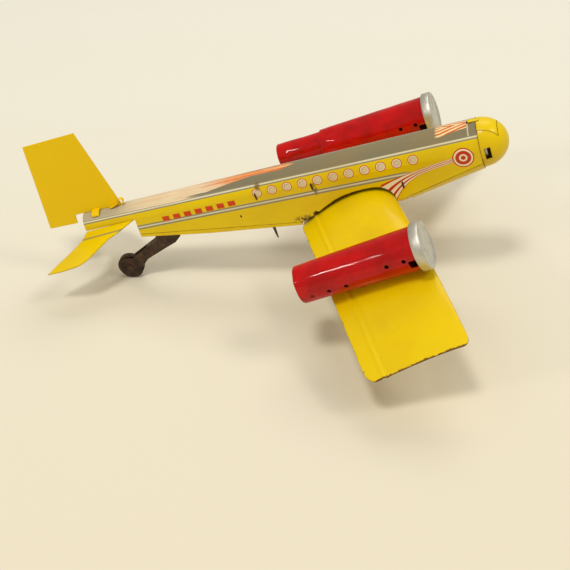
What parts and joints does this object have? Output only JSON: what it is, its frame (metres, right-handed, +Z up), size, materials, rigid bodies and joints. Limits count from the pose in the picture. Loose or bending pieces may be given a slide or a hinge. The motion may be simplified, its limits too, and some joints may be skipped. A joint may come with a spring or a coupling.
{
  "type": "toy airplane",
  "caption": "Tinplate toy airliner with an arched wing, tubular nacelles with sliding exhausts, a flat fin, a tail strut and a friction-driven undercarriage.",
  "frame": {"origin": "on the floor, under the middle of the overall length and on the centre line", "axes": "+X towards the nose along the floor, +Y to port, +Z up"},
  "size_m": [0.2812, 0.2364, 0.116],
  "materials": {
    "litho_yellow": "gloss lacquer, worn at the edges",
    "nacelle_red": "gloss lacquer, dented",
    "cap_aluminium": "satin",
    "brown_steel": "browned, rusty",
    "bright_steel": "plain",
    "brass_gear": "stamped",
    "flywheel_steel": "turned, dull",
    "wheel_red": "gloss",
    "tyre_rubber": "matt"
  },
  "bodies": {
    "airframe": {"fuselage_shell": "litho_yellow", "belly_pan": "litho_yellow", "belly_front": "litho_yellow", "nose_dome": "litho_yellow", "cockpit_panel": "litho_yellow", "wing": "litho_yellow", "nacelle_starboard": "nacelle_red", "nacelle_port": "nacelle_red", "intake_cap_starboard": "cap_aluminium", "intake_cap_port": "cap_aluminium", "tail_fin": "litho_yellow", "brace_rear": "brown_steel", "brace_middle": "brown_steel", "brace_front": "brown_steel", "gear_bracket": "brown_steel", "tail_strut": "brown_steel", "tail_rivet": "brown_steel"},
    "axle_set": {"main_axle": "bright_steel", "drive_gear": "brass_gear", "wheel_starboard": "wheel_red", "wheel_port": "wheel_red", "tyre_starboard": "tyre_rubber", "tyre_port": "tyre_rubber"},
    "flywheel_set": {"flywheel_shaft": "bright_steel", "flywheel": "flywheel_steel"},
    "tail_wheel": {"tail_wheel": "brown_steel"},
    "exhaust_tube_starboard": {"exhaust_starboard": "nacelle_red"},
    "exhaust_tube_port": {"exhaust_port": "nacelle_red"}
  },
  "joints": [
    {"name": "axle_spin", "type": "hinge", "parent": "airframe", "child": "axle_set", "pos_m": [0.0676, 0, 0.014], "axis": [0, 1, 0], "continuous": true},
    {"name": "flywheel_spin", "type": "hinge", "parent": "airframe", "child": "flywheel_set", "pos_m": [0.0716, 0, 0.027], "axis": [0, 1, 0], "continuous": true},
    {"name": "tail_wheel_spin", "type": "hinge", "parent": "airframe", "child": "tail_wheel", "pos_m": [-0.0879, 0, 0.0082], "axis": [0, 1, 0], "continuous": true},
    {"name": "exhaust_starboard_slide", "type": "slide", "parent": "airframe", "child": "exhaust_tube_starboard", "axis": [0.9157, 0, 0.4019], "range_m": [-0.034, 0.004]},
    {"name": "exhaust_port_slide", "type": "slide", "parent": "airframe", "child": "exhaust_tube_port", "axis": [0.9415, 0, 0.3371], "range_m": [-0.004, 0.03]}
  ],
  "couplings": [
    {"joint": "flywheel_spin", "follows": "axle_spin", "ratio": -4}
  ]
}
